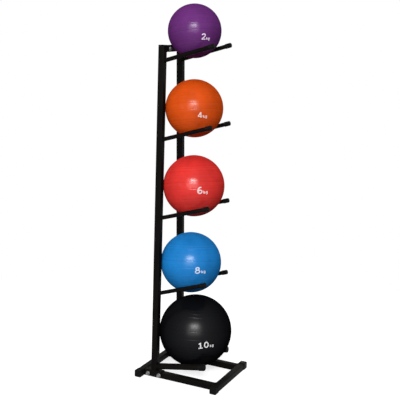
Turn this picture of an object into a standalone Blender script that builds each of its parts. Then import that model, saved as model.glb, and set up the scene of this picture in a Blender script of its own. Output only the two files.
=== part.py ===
"""Medicine ball rack, loaded with five rubber balls.

A free-standing rack of black square steel tube. Two uprights lean towards each other above a
rectangular base, a crossbar joins their tops, and five pairs of round arms slope up and forwards
from them. On each pair of arms lies a rubber medicine ball, which leans back against the uprights.

Metres, +Z up. The floor is z = 0, the arms point to -Y and +X is across the rack. The origin lies
on the floor under the middle of the base. Left is -X, as seen by someone who faces the arms.
"""

import math

import bmesh
import bpy
from mathutils import Vector

# Driving dimensions of the frame

RACK_HEIGHT = 1.324         # floor to the top of the uprights' end plugs
TOP_SPACING = 0.144         # between the centres of the uprights at their tops
BASE_LENGTH = 0.337         # between the centres of the front and the rear cross tube
BASE_WIDTH = 0.300          # over the foot caps
SIDE_INSET = 0.0425         # from a foot cap's end in to the centre of the side tube
UPRIGHT_SETBACK = 0.058     # from the rear cross tube's centre forwards to the uprights' centre

TUBE = 0.025                # square tube, outside
TUBE_WALL = 0.0015
TUBE_CORNER = 0.0025        # the square tube's outside corner radius
FIT = 0.0003                # gap between two pieces that touch

# Driving dimensions of the arms

ARM_DIAMETER = 0.016
ARM_TILT = 16.5             # degrees above level
SECOND_ARM_TILT = 18.2      # the second lowest pair is welded on a little steeper
LOW_ARM_DIAMETER = 0.025    # the lowest pair carries the heaviest ball and is thicker
LOW_ARM_TILT = 10.3
ARM_WALL = 0.0015
ARM_REACH = 0.213           # along the arm, from the upright's front face to the cap's tip
LOW_ARM_HEIGHT = 0.0465     # of the arm's axis, where it meets the upright's front face
TOP_ARM_DROP = 0.0575       # from the uprights' tops down to the highest arms
BALL_GAP = 0.0176           # between the lowest ball and the next one, which sets the second arms' height
ARM_SHARES = {              # of the way from the second arms up to the highest
    "8kg": 0.0,
    "6kg": 0.3346,
    "4kg": 0.6720,
    "2kg": 1.0,
}
LOWEST = "10kg"
SECOND = "8kg"

# Driving dimensions of the balls

BALL_10KG_DIAMETER = 0.291
BALL_8KG_DIAMETER = 0.241
BALL_6KG_DIAMETER = 0.240
BALL_4KG_DIAMETER = 0.223
BALL_2KG_DIAMETER = 0.203
BALL_MASSES = {             # kilograms
    "10kg": 10.0,
    "8kg": 8.0,
    "6kg": 6.0,
    "4kg": 4.0,
    "2kg": 2.0,
}
RUBBER_DENSITY = 1200.0     # kilograms per cubic metre
VALVE_DIAMETER = 0.008
VALVE_LENGTH = 0.012
NEEDLE_DIAMETER = 0.002
NEEDLE_DEPTH = 0.006

# Driving dimensions of caps and plugs

ARM_CAP_WALL = 0.0012
ARM_CAP_GRIP = 0.020        # length of arm inside the cap
ARM_CAP_END = 0.003         # thickness of the cap's end
FOOT_CAP_WALL = 0.0017
FOOT_CAP_GRIP = 0.024
FOOT_CAP_END = 0.002
PLUG_FLANGE = 0.002
PLUG_SKIRT = 0.012
PLUG_WALL = 0.0015

# Driving dimensions of the joints in the frame

STUB_LENGTH = 0.036         # the short inner tube that carries the crossbar
CROSSBAR_BOLT_INSET = 0.022  # from the upright's inner face to the crossbar's bolt
SADDLE_LENGTH = 0.070
SADDLE_PLATE = 0.003
SADDLE_CHEEK = 0.0225       # from the side tube's top down to the cheeks' lower edges
SADDLE_ROUND = 0.006        # corner radius of the cheeks
SADDLE_BOLT_PITCH = 0.050
BOLT_DIAMETER = 0.008
BOLT_FLANGE_DIAMETER = 0.017
BOLT_FLANGE_THICKNESS = 0.0015
BOLT_FLATS = 0.0125
BOLT_HEAD_HEIGHT = 0.0065   # flange and hexagon
BOLT_CHAMFER = 0.0008       # round the head's top and the shank's end
NUT_HEIGHT = 0.008
THREAD_END = 0.002          # the bolt's end stands this far out of its nut

# Facets

CORNER_STEPS = 2            # per tube corner
ARM_SIDES = 16
BOLT_SIDES = 12
VALVE_SIDES = 8
BALL_SIDES = 32             # must divide by 8, so that corners lie where the arms touch
LARGE_BALL_SIDES = 40
LARGE_BALL = 0.25           # balls of this diameter and more have the larger count
INNER_RINGS = 3             # inside a ball's wall
SHARP_ANGLE = 50            # degrees; shallower edges are shaded smooth
SETTLE_STEPS = 40           # rounds in the search for the place where a ball comes to rest

# Worked-out sizes

SIDES = {"left": -1, "right": 1}
X = Vector((1, 0, 0))
Y = Vector((0, 1, 0))
Z = Vector((0, 0, 1))

BALL_DIAMETERS = {
    "10kg": BALL_10KG_DIAMETER,
    "8kg": BALL_8KG_DIAMETER,
    "6kg": BALL_6KG_DIAMETER,
    "4kg": BALL_4KG_DIAMETER,
    "2kg": BALL_2KG_DIAMETER,
}
SIDE_X = BASE_WIDTH / 2 - SIDE_INSET
FRONT_Y = -BASE_LENGTH / 2
REAR_Y = BASE_LENGTH / 2
UPRIGHT_Y = REAR_Y - UPRIGHT_SETBACK
UPRIGHT_FRONT_Y = UPRIGHT_Y - TUBE / 2
BASE_Z = FOOT_CAP_WALL + FIT + TUBE / 2
SIDE_TOP_Z = BASE_Z + TUBE / 2
SADDLE_TOP_Z = SIDE_TOP_Z + FIT + SADDLE_PLATE
UPRIGHT_FOOT_Z = SADDLE_TOP_Z + FIT
UPRIGHT_TOP_Z = RACK_HEIGHT - PLUG_FLANGE - FIT
CROSSBAR_Z = UPRIGHT_TOP_Z - TUBE / 2
TUBE_BORE = TUBE - 2 * TUBE_WALL
BORE_CORNER = TUBE_CORNER - TUBE_WALL
STUB = TUBE_BORE - 2 * FIT
BOLT_HOLE = BOLT_DIAMETER + 2 * FIT


# Helpers: outlines are lists of (a, b) across a run, counter-clockwise

def circle(diameter, sides):
    """Points round a circle, the first at angle zero."""
    turns = [2 * math.pi * i / sides for i in range(sides)]
    return [(diameter / 2 * math.cos(t), diameter / 2 * math.sin(t)) for t in turns]


def hexagon(flats):
    """A hexagon over its flats, with a point at each corner and in the middle of each flat."""
    points = []
    for i in range(BOLT_SIDES):
        turn = 2 * math.pi * i / BOLT_SIDES
        from_flat = (turn + math.pi / 6) % (math.pi / 3) - math.pi / 6
        radius = flats / 2 / math.cos(from_flat)
        points.append((radius * math.cos(turn), radius * math.sin(turn)))
    return points


def rounded_square(width, corner):
    """A square outline whose corners are quarter circles."""
    centre = width / 2 - corner
    points = []
    for quarter, (a, b) in enumerate(((1, 1), (-1, 1), (-1, -1), (1, -1))):
        for step in range(CORNER_STEPS + 1):
            turn = math.pi / 2 * (quarter + step / CORNER_STEPS)
            points.append((a * centre + corner * math.cos(turn), b * centre + corner * math.sin(turn)))
    return points


class Run:
    """A straight line with two directions across it, which carries the sections of a long piece."""

    def __init__(self, start, along, across):
        self.start = Vector(start)
        self.along = Vector(along).normalized()
        self.across = (across - self.along * across.dot(self.along)).normalized()
        self.upward = self.along.cross(self.across)

    def at(self, distance):
        """The plane square to the run at a distance along it, as a point and a normal."""
        return self.start + self.along * distance, self.along

    def ring(self, outline, plane):
        """The outline, each point slid along the run until it lies on the plane."""
        point, normal = plane
        ring = []
        for a, b in outline:
            corner = self.start + self.across * a + self.upward * b
            slide = (point - corner).dot(normal) / self.along.dot(normal)
            ring.append(corner + self.along * slide)
        return ring

    def rings(self, steps):
        """Rings square to the run, from pairs of an outline and a distance."""
        return [self.ring(outline, self.at(distance)) for outline, distance in steps]


def loft(rings, closed=False):
    """A solid with quads from ring to ring. It is closed end to end, or capped at both ends."""
    bm = bmesh.new()
    rows = [[bm.verts.new(point) for point in ring] for ring in rings]
    pairs = list(zip(rows, rows[1:]))
    if closed:
        pairs.append((rows[-1], rows[0]))
    for lower, upper in pairs:
        count = max(len(lower), len(upper))
        for i in range(count):
            j = (i + 1) % count
            corners = (lower[i % len(lower)], lower[j % len(lower)],
                       upper[j % len(upper)], upper[i % len(upper)])
            bm.faces.new(list(dict.fromkeys(corners)))
    if not closed:
        for row in (rows[0], rows[-1]):
            if len(row) > 2:
                bm.faces.new(row)
    bmesh.ops.recalc_face_normals(bm, faces=bm.faces)
    return bm


def add_object(name, bm, material, origin):
    """Turn a mesh in world coordinates into an object whose origin lies at the given point."""
    bmesh.ops.translate(bm, verts=bm.verts, vec=-Vector(origin))
    mesh = bpy.data.meshes.new(name)
    bm.to_mesh(mesh)
    bm.free()
    mesh.materials.append(material)
    mesh.shade_smooth()
    mesh.set_sharp_from_angle(angle=math.radians(SHARP_ANGLE))
    obj = bpy.data.objects.new(name, mesh)
    obj.location = origin
    bpy.context.scene.collection.objects.link(obj)
    return obj


def add_square_tube(name, run, start, end, material, width=TUBE, corner=TUBE_CORNER):
    """A square tube between two planes, open at both ends."""
    bore_corner = max(corner - TUBE_WALL, FIT)
    outer = rounded_square(width, corner)
    bore = rounded_square(width - 2 * TUBE_WALL, bore_corner)
    rings = [run.ring(outer, start), run.ring(outer, end), run.ring(bore, end), run.ring(bore, start)]
    return add_object(name, loft(rings, closed=True), material, run.start)


def drill(name, targets, seat, along, grip):
    """Cut one bolt hole through all the targets, from the bolt's seat along through its grip."""
    run = Run(seat, along, Z)
    hole = circle(BOLT_HOLE, BOLT_SIDES)
    cutter = add_object(name, loft(run.rings([(hole, -TUBE), (hole, grip + TUBE)])), None, seat)
    cutter.hide_render = True
    cutter.display_type = "WIRE"
    for target in targets:
        cut = target.modifiers.new(name, "BOOLEAN")
        cut.operation = "DIFFERENCE"
        cut.solver = "EXACT"
        cut.object = cutter


def paint(name, colour, roughness, metallic=0.0):
    """A plain material."""
    material = bpy.data.materials.new(name)
    material.use_nodes = True
    shader = material.node_tree.nodes["Principled BSDF"]
    shader.inputs["Base Color"].default_value = (*colour, 1.0)
    shader.inputs["Roughness"].default_value = roughness
    shader.inputs["Metallic"].default_value = metallic
    material.diffuse_color = (*colour, 1.0)
    return material


# The frame's lines, which several pieces share

def upright_run(side):
    """The centre line of an upright, from its foot to its top, leaning inwards."""
    foot = Vector((side * SIDE_X, UPRIGHT_Y, UPRIGHT_FOOT_Z))
    top = Vector((side * TOP_SPACING / 2, UPRIGHT_Y, UPRIGHT_TOP_Z))
    return Run(foot, top - foot, Y)


def upright_x(height):
    """Distance from the rack's middle to an upright's centre line at a height."""
    share = (height - UPRIGHT_FOOT_Z) / (UPRIGHT_TOP_Z - UPRIGHT_FOOT_Z)
    return SIDE_X + (TOP_SPACING / 2 - SIDE_X) * share


def inner_face(side, gap):
    """The plane that lies a gap off an upright's inner face."""
    run = upright_run(side)
    inward = run.upward if run.upward.x * side < 0 else -run.upward
    return run.start + inward * (TUBE / 2 + gap), inward


def arm_diameter(tier):
    return LOW_ARM_DIAMETER if tier == LOWEST else ARM_DIAMETER


def arm_tilt(tier):
    """Angle of a pair of arms above level."""
    return math.radians({LOWEST: LOW_ARM_TILT, SECOND: SECOND_ARM_TILT}.get(tier, ARM_TILT))


def arm_run(tier, side, height):
    """The centre line of an arm, from the upright's front face forwards and up."""
    tilt = arm_tilt(tier)
    root = (side * upright_x(height), UPRIGHT_FRONT_Y, height)
    return Run(root, (0, -math.cos(tilt), math.sin(tilt)), X)


def distance_to_stop(point):
    """Distance from a point to what stops a ball: the uprights' inner corners and the crossbar."""
    run = upright_run(1)
    inward = inner_face(1, 0)[1]
    to_corner_centre = TUBE / 2 - TUBE_CORNER
    foot = run.start - Y * to_corner_centre + inward * to_corner_centre
    length = (UPRIGHT_TOP_Z - UPRIGHT_FOOT_Z) / run.along.z
    along = min(max((point - foot).dot(run.along), 0), length)
    to_corner = (point - foot - run.along * along).length
    behind = point.y - (UPRIGHT_Y - to_corner_centre)
    above = point.z - min(max(point.z, CROSSBAR_Z - to_corner_centre), CROSSBAR_Z + to_corner_centre)
    return min(to_corner, math.hypot(behind, above)) - TUBE_CORNER


def ball_centre(tier, height):
    """Where a ball comes to rest: slid back down its two arms until the frame stops it."""
    radius = BALL_DIAMETERS[tier] / 2
    run = arm_run(tier, 1, height)
    reach = radius + arm_diameter(tier) / 2 + FIT
    lift = math.sqrt(reach ** 2 - run.start.x ** 2)
    lifted = Vector((0, run.start.y, run.start.z)) + X.cross(run.along) * -lift
    touching = 0.0
    clear = ARM_REACH
    for _ in range(SETTLE_STEPS):
        middle = (touching + clear) / 2
        if distance_to_stop(lifted + run.along * middle) < radius + FIT:
            touching = middle
        else:
            clear = middle
    return lifted + run.along * clear


def arm_heights():
    """Heights of the arms' axes at the uprights' front faces. The second ball just clears the lowest."""
    low_top = ball_centre(LOWEST, LOW_ARM_HEIGHT).z + BALL_DIAMETERS[LOWEST] / 2
    wanted = low_top + BALL_GAP + BALL_DIAMETERS[SECOND] / 2
    second = low_top
    for _ in range(SETTLE_STEPS):
        second += wanted - ball_centre(SECOND, second).z
    highest = RACK_HEIGHT - TOP_ARM_DROP
    heights = {LOWEST: LOW_ARM_HEIGHT}
    for tier, share in ARM_SHARES.items():
        heights[tier] = second + (highest - second) * share
    return heights


# The base

def add_base_tubes(steel):
    """Front and rear cross tubes, and the two side tubes between them."""
    half = BASE_WIDTH / 2 - FOOT_CAP_END - FIT
    for place, y in (("front", FRONT_Y), ("rear", REAR_Y)):
        run = Run((-half, y, BASE_Z), X, Y)
        add_square_tube("base_cross_tube_" + place, run, run.at(0), run.at(2 * half), steel)
    between = BASE_LENGTH - TUBE - 2 * FIT
    tubes = {}
    for name, side in SIDES.items():
        run = Run((side * SIDE_X, -between / 2, BASE_Z), Y, X)
        tubes[name] = add_square_tube("base_side_tube_" + name, run, run.at(0), run.at(between), steel)
    return tubes


def add_foot_caps(rubber):
    """Slip-on caps over the cross tubes' ends. The rack stands on them."""
    bore = rounded_square(TUBE + 2 * FIT, TUBE_CORNER + FIT)
    outer_width = TUBE + 2 * FIT + 2 * FOOT_CAP_WALL
    outer_corner = TUBE_CORNER + FIT + FOOT_CAP_WALL
    outer = rounded_square(outer_width, outer_corner)
    rim = rounded_square(outer_width - FOOT_CAP_END, outer_corner - FOOT_CAP_END / 2)
    length = FOOT_CAP_END + FIT + FOOT_CAP_GRIP
    for place, y in (("front", FRONT_Y), ("rear", REAR_Y)):
        for name, side in SIDES.items():
            run = Run((side * BASE_WIDTH / 2, y, BASE_Z), X * -side, Y)
            rings = run.rings([(rim, 0), (outer, FOOT_CAP_END / 2), (outer, length),
                               (bore, length), (bore, FOOT_CAP_END)])
            add_object("foot_cap_" + place + "_" + name, loft(rings), rubber, run.start)


# The uprights and the crossbar

def add_uprights(steel, rubber):
    """Leaning uprights, level at both ends, with a plug in each top."""
    flange = rounded_square(TUBE, TUBE_CORNER)
    flange_top = rounded_square(TUBE - PLUG_FLANGE, TUBE_CORNER - PLUG_FLANGE / 2)
    skirt = rounded_square(TUBE_BORE - 2 * FIT, BORE_CORNER)
    hollow = rounded_square(TUBE_BORE - 2 * FIT - 2 * PLUG_WALL, max(BORE_CORNER - PLUG_WALL, FIT))
    for name, side in SIDES.items():
        run = upright_run(side)
        foot = (Z * UPRIGHT_FOOT_Z, Z)
        top = (Z * UPRIGHT_TOP_Z, Z)
        add_square_tube("upright_" + name, run, foot, top, steel)
        under = UPRIGHT_TOP_Z + FIT
        levels = [(flange_top, RACK_HEIGHT), (flange, RACK_HEIGHT - PLUG_FLANGE / 2), (flange, under),
                  (skirt, under), (skirt, under - PLUG_SKIRT), (hollow, under - PLUG_SKIRT), (hollow, under)]
        rings = [run.ring(outline, (Z * height, Z)) for outline, height in levels]
        add_object("upright_plug_" + name, loft(rings), rubber, Vector(rings[0][0]))


def add_crossbar(steel, zinc):
    """The crossbar slips over a stub on each upright, and a bolt goes through both."""
    middle = Vector((0, UPRIGHT_Y, CROSSBAR_Z))
    run = Run(middle, X, Y)
    crossbar = add_square_tube("crossbar", run, inner_face(-1, FIT), inner_face(1, FIT), steel)
    face_x = upright_x(CROSSBAR_Z) - TUBE / 2
    for name, side in SIDES.items():
        end = (X * side * (face_x - STUB_LENGTH), X)
        stub = add_square_tube("crossbar_stub_" + name, run, inner_face(side, FIT), end, steel,
                               STUB, BORE_CORNER)
        seat = middle + X * side * (face_x - CROSSBAR_BOLT_INSET) - Y * TUBE / 2
        drill("crossbar_hole_" + name, [crossbar, stub], seat, Y, TUBE)
        add_bolt("crossbar_bolt_" + name, seat, Y, TUBE, zinc)
        add_nut("crossbar_nut_" + name, seat + Y * TUBE, Y, zinc)


# Bolts and nuts

def add_bolt(name, seat, along, grip, zinc):
    """A flanged hexagon bolt. Its head bears on the seat and its shank runs along through the grip."""
    run = Run(seat, along, Z)
    shank = circle(BOLT_DIAMETER, BOLT_SIDES)
    tip = circle(BOLT_DIAMETER - 2 * BOLT_CHAMFER, BOLT_SIDES)
    flange = circle(BOLT_FLANGE_DIAMETER, BOLT_SIDES)
    end = grip + FIT + NUT_HEIGHT + THREAD_END
    under = -FIT
    top = under - BOLT_HEAD_HEIGHT
    rings = run.rings([(tip, end), (shank, end - BOLT_CHAMFER), (shank, under), (flange, under),
                       (flange, under - BOLT_FLANGE_THICKNESS),
                       (hexagon(BOLT_FLATS), under - BOLT_FLANGE_THICKNESS),
                       (hexagon(BOLT_FLATS), top + BOLT_CHAMFER),
                       (circle(BOLT_FLATS - BOLT_CHAMFER, BOLT_SIDES), top)])
    add_object(name, loft(rings), zinc, run.start)


def add_nut(name, seat, along, zinc):
    """A flanged hexagon nut that bears on the seat, on the side that the bolt comes out of."""
    run = Run(seat, along, Z)
    bore = circle(BOLT_HOLE, BOLT_SIDES)
    flange = circle(BOLT_FLANGE_DIAMETER, BOLT_SIDES)
    top = FIT + NUT_HEIGHT
    rings = run.rings([(bore, FIT), (flange, FIT), (flange, FIT + BOLT_FLANGE_THICKNESS),
                       (hexagon(BOLT_FLATS), FIT + BOLT_FLANGE_THICKNESS), (hexagon(BOLT_FLATS), top),
                       (bore, top)])
    add_object(name, loft(rings, closed=True), zinc, run.start)


# The saddles under the uprights

def saddle_section():
    """Pairs of inner and outer (x, z) points round the bent plate, from one cheek to the other."""
    corner_x = TUBE / 2 - TUBE_CORNER
    corner_z = SIDE_TOP_Z - TUBE_CORNER
    inner_bend = TUBE_CORNER + FIT
    low = SIDE_TOP_Z - SADDLE_CHEEK
    turns = [math.pi - math.pi / 2 * step / CORNER_STEPS for step in range(CORNER_STEPS + 1)]
    section = [((-corner_x - inner_bend, low), (-corner_x - inner_bend - SADDLE_PLATE, low))]
    for turn in turns:
        section.append(tuple((-corner_x + bend * math.cos(turn), corner_z + bend * math.sin(turn))
                             for bend in (inner_bend, inner_bend + SADDLE_PLATE)))
    mirrored = [tuple((-x, z) for x, z in pair) for pair in reversed(section)]
    return section + mirrored


def add_saddles(tubes, steel, zinc):
    """A bent plate welded under each upright sits astride the side tube, with two bolts through both."""
    outside = TUBE / 2 + FIT + SADDLE_PLATE
    grip = 2 * outside
    low = SIDE_TOP_Z - SADDLE_CHEEK
    for name, side in SIDES.items():
        centre = Vector((side * SIDE_X, UPRIGHT_Y, BASE_Z))
        inward = X * -side
        rings = []
        for (inner_x, inner_z), (outer_x, outer_z) in saddle_section():
            ring = []
            for x, z, end in ((inner_x, inner_z, -1), (outer_x, outer_z, -1),
                              (outer_x, outer_z, 1), (inner_x, inner_z, 1)):
                ring.append(Vector((centre.x + x, UPRIGHT_Y + end * SADDLE_LENGTH / 2, z)))
            rings.append(ring)
        bm = loft(rings)
        corners = []
        for edge in bm.edges:
            first, second = (vert.co for vert in edge.verts)
            if max(first.z, second.z) < low + FIT and abs(first.y - second.y) < FIT:
                corners.append(edge)
        bmesh.ops.bevel(bm, geom=corners, offset=SADDLE_ROUND, segments=CORNER_STEPS, profile=0.5,
                        affect="EDGES")
        saddle = add_object("saddle_" + name, bm, steel, centre)
        for place, end in (("front", -1), ("rear", 1)):
            seat = centre + Y * end * SADDLE_BOLT_PITCH / 2 - inward * outside
            key = place + "_" + name
            drill("saddle_hole_" + key, [saddle, tubes[name]], seat, inward, grip)
            add_bolt("saddle_bolt_" + key, seat, inward, grip, zinc)
            add_nut("saddle_nut_" + key, seat + inward * grip, inward, zinc)


# The arms

def add_arms(heights, steel, rubber):
    """Two round tubes for each tier, mitred to the uprights' front faces, with rounded end caps."""
    for tier, height in heights.items():
        diameter = arm_diameter(tier)
        outer = circle(diameter, ARM_SIDES)
        bore = circle(diameter - 2 * ARM_WALL, ARM_SIDES)
        cap_bore = circle(diameter + 2 * FIT, ARM_SIDES)
        cap_diameter = diameter + 2 * FIT + 2 * ARM_CAP_WALL
        cap = circle(cap_diameter, ARM_SIDES)
        nose = circle(cap_diameter - ARM_CAP_END, ARM_SIDES)
        tube_end = ARM_REACH - ARM_CAP_END - FIT
        mouth = tube_end - ARM_CAP_GRIP
        for name, side in SIDES.items():
            run = arm_run(tier, side, height)
            root = (Y * (UPRIGHT_FRONT_Y - FIT), Y)
            end = run.at(tube_end)
            rings = [run.ring(outer, root), run.ring(outer, end), run.ring(bore, end), run.ring(bore, root)]
            add_object("arm_" + tier + "_" + name, loft(rings, closed=True), steel, run.start)
            rings = run.rings([(nose, ARM_REACH), (cap, ARM_REACH - ARM_CAP_END / 2), (cap, mouth),
                               (cap_bore, mouth), (cap_bore, tube_end + FIT)])
            add_object("arm_cap_" + tier + "_" + name, loft(rings), rubber, run.at(mouth)[0])


# The balls

def add_ball(tier, height, material, valve_rubber):
    """A thick hollow rubber ball, as heavy as its weight says, with a plugged air valve at its back."""
    radius = BALL_DIAMETERS[tier] / 2
    cavity = (radius ** 3 - 3 * BALL_MASSES[tier] / (4 * math.pi * RUBBER_DENSITY)) ** (1 / 3)
    centre = ball_centre(tier, height)
    run = Run(centre, Y, X)
    sides = LARGE_BALL_SIDES if 2 * radius >= LARGE_BALL else BALL_SIDES
    hole = circle(VALVE_DIAMETER + 2 * FIT, sides)
    to_hole = VALVE_DIAMETER / 2 + FIT
    mouth = math.sqrt(radius ** 2 - to_hole ** 2)
    steps = [([(0, 0)], -radius)]
    for ring in range(1, sides // 2):
        latitude = math.pi * (ring / (sides // 2) - 0.5)
        steps.append((circle(2 * radius * math.cos(latitude), sides), radius * math.sin(latitude)))
    steps.append((hole, mouth))
    steps.append((hole, math.sqrt(cavity ** 2 - to_hole ** 2)))
    for ring in range(INNER_RINGS):
        latitude = math.pi * (0.5 - (ring + 1) / (INNER_RINGS + 1))
        steps.append((circle(2 * cavity * math.cos(latitude), sides), cavity * math.sin(latitude)))
    steps.append(([(0, 0)], -cavity))
    add_object("ball_" + tier, loft(run.rings(steps)), material, centre)

    plug = circle(VALVE_DIAMETER, VALVE_SIDES)
    needle = circle(NEEDLE_DIAMETER, VALVE_SIDES)
    rings = run.rings([(needle, mouth - VALVE_LENGTH), (plug, mouth - VALVE_LENGTH + NEEDLE_DIAMETER),
                       (plug, mouth), (needle, mouth), (needle, mouth - NEEDLE_DEPTH)])
    add_object("ball_valve_" + tier, loft(rings), valve_rubber, run.at(mouth)[0])


# Clear the scene and build the rack

def main():
    for obj in list(bpy.data.objects):
        bpy.data.objects.remove(obj, do_unlink=True)
    steel = paint("black powder coat", (0.012, 0.011, 0.010), 0.45)
    rubber = paint("black cap rubber", (0.010, 0.010, 0.010), 0.60)
    zinc = paint("zinc plate", (0.62, 0.63, 0.62), 0.30, 1.0)
    ball_colours = {
        "2kg": (0.145, 0.040, 0.185),
        "4kg": (0.640, 0.090, 0.015),
        "6kg": (0.700, 0.045, 0.045),
        "8kg": (0.030, 0.230, 0.580),
        "10kg": (0.014, 0.014, 0.016),
    }
    tubes = add_base_tubes(steel)
    add_foot_caps(rubber)
    add_saddles(tubes, steel, zinc)
    add_uprights(steel, rubber)
    add_crossbar(steel, zinc)
    heights = arm_heights()
    add_arms(heights, steel, rubber)
    for tier, colour in ball_colours.items():
        add_ball(tier, heights[tier], paint("ball rubber " + tier, colour, 0.50), rubber)


main()
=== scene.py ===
# %% [markdown]
# # A medicine ball rack, dressed for a picture
#
# The rack is two leaning square tubes on a rectangular base. Five pairs of round arms slope up and
# forwards from it, and a rubber ball lies on each pair. The CAD model gives every size and place.
# This lesson gives each piece the surface that the eye expects: rounded tube corners, weld beads,
# cut threads, grained rubber and printed weights. It starts by loading the CAD model as the frame.

import math

import bmesh
import bpy
import numpy as np
from mathutils import Matrix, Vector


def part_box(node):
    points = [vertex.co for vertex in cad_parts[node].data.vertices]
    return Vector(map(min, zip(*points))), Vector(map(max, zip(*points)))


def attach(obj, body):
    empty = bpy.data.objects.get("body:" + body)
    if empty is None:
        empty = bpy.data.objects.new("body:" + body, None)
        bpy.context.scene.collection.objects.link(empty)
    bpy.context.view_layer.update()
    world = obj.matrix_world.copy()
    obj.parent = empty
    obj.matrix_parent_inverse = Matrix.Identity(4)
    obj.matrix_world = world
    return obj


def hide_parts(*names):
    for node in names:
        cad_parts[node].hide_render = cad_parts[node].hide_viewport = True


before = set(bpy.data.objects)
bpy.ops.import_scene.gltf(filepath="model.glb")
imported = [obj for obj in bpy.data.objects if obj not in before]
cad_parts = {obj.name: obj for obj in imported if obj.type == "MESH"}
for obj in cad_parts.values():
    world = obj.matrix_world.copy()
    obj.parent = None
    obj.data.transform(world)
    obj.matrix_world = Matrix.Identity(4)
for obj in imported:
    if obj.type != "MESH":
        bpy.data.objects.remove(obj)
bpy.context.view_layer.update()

# %% [markdown]
# ## The camera
#
# The photograph was taken from the rack's left front, from just above the top of the frame, with the
# camera tipped down a little. Its place and angles come from a fit of the rack's edges to the picture.
# A constraint could aim it, but not roll it as well. Its matrix can do both: the columns are the
# camera's right, its up and its back, and its place.

# %% Place the camera
PHOTO_PIXELS = 400
FOCAL_PIXELS = 855.065
SENSOR = 36.0
CAMERA_PLACE = np.array((-2.9312, -1.47875, 1.44464))
CAMERA_YAW = -1.10992
CAMERA_PITCH = 0.21566
CAMERA_ROLL = 0.02012


def direction(yaw, pitch):
    """A unit vector: (sin yaw cos pitch, -cos yaw cos pitch, sin pitch)."""
    return np.array((math.sin(yaw) * math.cos(pitch), -math.cos(yaw) * math.cos(pitch), math.sin(pitch)))


def add_object(name, data):
    """An object in the scene for a camera, a mesh or a lamp."""
    made = bpy.data.objects.new(name, data)
    bpy.context.scene.collection.objects.link(made)
    return made


def aim(thing, right, up, back, place):
    """Turn and place a camera or a lamp: the columns of its matrix are right, up, back and place."""
    columns = np.stack((right, up, back, place), axis=1)
    thing.matrix_world = Matrix(np.vstack((columns, (0, 0, 0, 1))).tolist())


camera_back = direction(CAMERA_YAW, CAMERA_PITCH)
level_right = np.array((math.cos(CAMERA_YAW), math.sin(CAMERA_YAW), 0.0))
level_up = np.cross(camera_back, level_right)
camera_right = math.cos(CAMERA_ROLL) * level_right + math.sin(CAMERA_ROLL) * level_up
camera_up = math.cos(CAMERA_ROLL) * level_up - math.sin(CAMERA_ROLL) * level_right

camera = add_object("camera", bpy.data.cameras.new("camera"))
aim(camera, camera_right, camera_up, camera_back, CAMERA_PLACE)
camera.data.sensor_width = SENSOR
camera.data.lens = FOCAL_PIXELS * SENSOR / PHOTO_PIXELS
bpy.context.scene.camera = camera
print("lens", round(camera.data.lens, 2), "mm")

# %% [markdown]
# ## Sizes that the pieces share
#
# These are the frame's own sizes, in metres, as the CAD model has them. The box round a leaning tube
# doesn't tell its width or its corners, so they are written down once, here. Two pieces that touch
# keep a gap of 0.3 mm. Left is -X and the arms point to -Y.

# %% Shared sizes
X, Y, Z = np.eye(3)
SIDES = {"left": -1, "right": 1}
ENDS = {"front": -1, "rear": 1}
TIERS = ("10kg", "8kg", "6kg", "4kg", "2kg")
LOWEST = "10kg"
FIT = 0.0003
TUBE = 0.025
TUBE_WALL = 0.0015
TUBE_CORNER = 0.0025
RACK_HEIGHT = 1.324
BASE_WIDTH = 0.300
BASE_LENGTH = 0.337
BASE_Z = 0.0145
SIDE_X = 0.1075
TOP_X = 0.072
UPRIGHT_Y = 0.1105
UPRIGHT_FRONT_Y = UPRIGHT_Y - TUBE / 2
UPRIGHT_FOOT_Z = 0.0306
UPRIGHT_TOP_Z = 1.3217
CROSSBAR_Z = UPRIGHT_TOP_Z - TUBE / 2


def upright_x(height):
    """How far from the middle an upright's axis is at a height: from SIDE_X at its foot to TOP_X."""
    share = (height - UPRIGHT_FOOT_Z) / (UPRIGHT_TOP_Z - UPRIGHT_FOOT_Z)
    return SIDE_X + (TOP_X - SIDE_X) * share


print("rack:", BASE_WIDTH, "m wide and", RACK_HEIGHT, "m high")

# %% [markdown]
# ## From a grid of points to a piece
#
# Blender's own cylinders and cubes could be scaled and bevelled, but their edges then fall where the
# tool puts them. Here every new piece is a grid: rows of points that each run once round the piece.
# The grid closes into a ring for a tube, or ends in two caps for a solid rod. Points that fall
# together at a pole are merged and the faces are turned outwards. Edges sharper than a set angle stay
# crisp under smooth shading.

# %% Grid to mesh
SAME_PLACE = 1e-7
CRISP = math.radians(38)


def grid_faces(rows, columns, closed):
    """Quads (i, j), (i, j+1), (i+1, j+1), (i+1, j). The columns wrap, and the rows too if closed."""
    i = np.arange(rows if closed else rows - 1)[:, None]
    j = np.arange(columns)[None, :]
    ahead = (j + 1) % columns
    below = (i + 1) % rows
    corners = (i * columns + j, i * columns + ahead, below * columns + ahead, below * columns + j)
    return np.stack(np.broadcast_arrays(*corners), axis=-1).reshape(-1, 4)


def finish_mesh(mesh, crisp=CRISP):
    """Merge points at one place, turn the faces outwards and shade smoothly between crisp edges."""
    bm = bmesh.new()
    bm.from_mesh(mesh)
    bmesh.ops.remove_doubles(bm, verts=bm.verts, dist=SAME_PLACE)
    bmesh.ops.dissolve_degenerate(bm, edges=bm.edges, dist=SAME_PLACE)
    bmesh.ops.recalc_face_normals(bm, faces=bm.faces)
    bm.to_mesh(mesh)
    bm.free()
    mesh.shade_smooth()
    mesh.set_sharp_from_angle(angle=crisp)


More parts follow.
